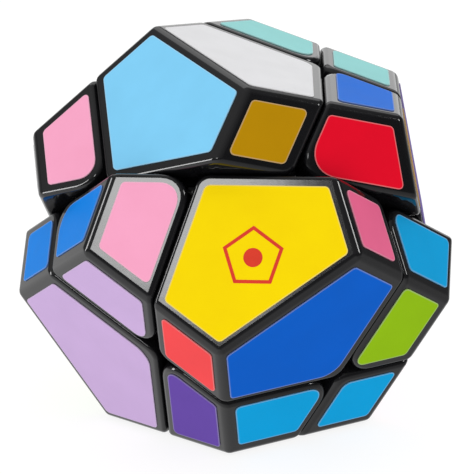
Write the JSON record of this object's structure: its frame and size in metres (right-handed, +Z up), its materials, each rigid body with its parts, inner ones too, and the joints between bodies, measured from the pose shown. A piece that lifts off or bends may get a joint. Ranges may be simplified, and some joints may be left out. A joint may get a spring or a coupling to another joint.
{
  "type": "twisty puzzle",
  "caption": "Dodecahedron-shaped twisty puzzle with deep cuts through its centre, standing on one face with one half part of the way through a turn.",
  "frame": {"origin": "centre of the face that the puzzle stands on, in the plane of that face", "axes": "+Z up, square to the rest face; the large face of the front edge piece leans back from -Y; +X to the right as seen from -Y; the turning axis lies in the YZ plane"},
  "size_m": [0.078, 0.0803, 0.0725],
  "materials": {
    "shell_plastic": "glossy black moulded ABS",
    "inner_plastic": "black moulded ABS, satin",
    "core_plastic": "pale grey nylon, satin",
    "spring_steel": "drawn spring wire",
    "screw_steel": "zinc-plated steel",
    "washer_steel": "stamped steel",
    "sticker_white": "glossy printed vinyl film",
    "sticker_yellow": "glossy printed vinyl film",
    "sticker_gold": "glossy printed vinyl film",
    "sticker_red": "glossy printed vinyl film",
    "sticker_pink": "glossy printed vinyl film",
    "sticker_lavender": "glossy printed vinyl film",
    "sticker_purple": "glossy printed vinyl film",
    "sticker_blue": "glossy printed vinyl film",
    "sticker_cyan": "glossy printed vinyl film",
    "sticker_light_blue": "glossy printed vinyl film",
    "sticker_teal": "glossy printed vinyl film",
    "sticker_green": "glossy printed vinyl film"
  },
  "bodies": {
    "core_half": {"core": "core_plastic", "edge_base_1": "inner_plastic", "edge_base_3": "inner_plastic", "edge_base_6": "inner_plastic", "edge_cap_1": "shell_plastic", "edge_cap_3": "shell_plastic", "edge_cap_6": "shell_plastic", "fixed_corner_base_1": "inner_plastic", "fixed_corner_base_2": "inner_plastic", "fixed_corner_base_4": "inner_plastic", "fixed_corner_cap_1": "shell_plastic", "fixed_corner_cap_2": "shell_plastic", "fixed_corner_cap_4": "shell_plastic", "loose_corner_base_3": "inner_plastic", "loose_corner_cap_3": "shell_plastic", "screw_1": "screw_steel", "screw_2": "screw_steel", "screw_3": "screw_steel", "screw_4": "screw_steel", "spring_1": "spring_steel", "spring_2": "spring_steel", "spring_4": "spring_steel", "washer_1": "washer_steel", "washer_2": "washer_steel", "washer_3": "washer_steel", "washer_4": "washer_steel"},
    "turning_half": {"edge_base_2": "inner_plastic", "edge_base_4": "inner_plastic", "edge_base_5": "inner_plastic", "edge_cap_2": "shell_plastic", "edge_cap_4": "shell_plastic", "edge_cap_5": "shell_plastic", "fixed_corner_base_3": "inner_plastic", "fixed_corner_cap_3": "shell_plastic", "loose_corner_base_1": "inner_plastic", "loose_corner_base_2": "inner_plastic", "loose_corner_base_4": "inner_plastic", "loose_corner_cap_1": "shell_plastic", "loose_corner_cap_2": "shell_plastic", "loose_corner_cap_4": "shell_plastic", "spring_3": "spring_steel"}
  },
  "joints": [
    {"name": "twist", "type": "hinge", "parent": "core_half", "child": "turning_half", "pos_m": [0, 0, 0.03341], "axis": [0, 0.6071, 0.7947], "continuous": true}
  ]
}
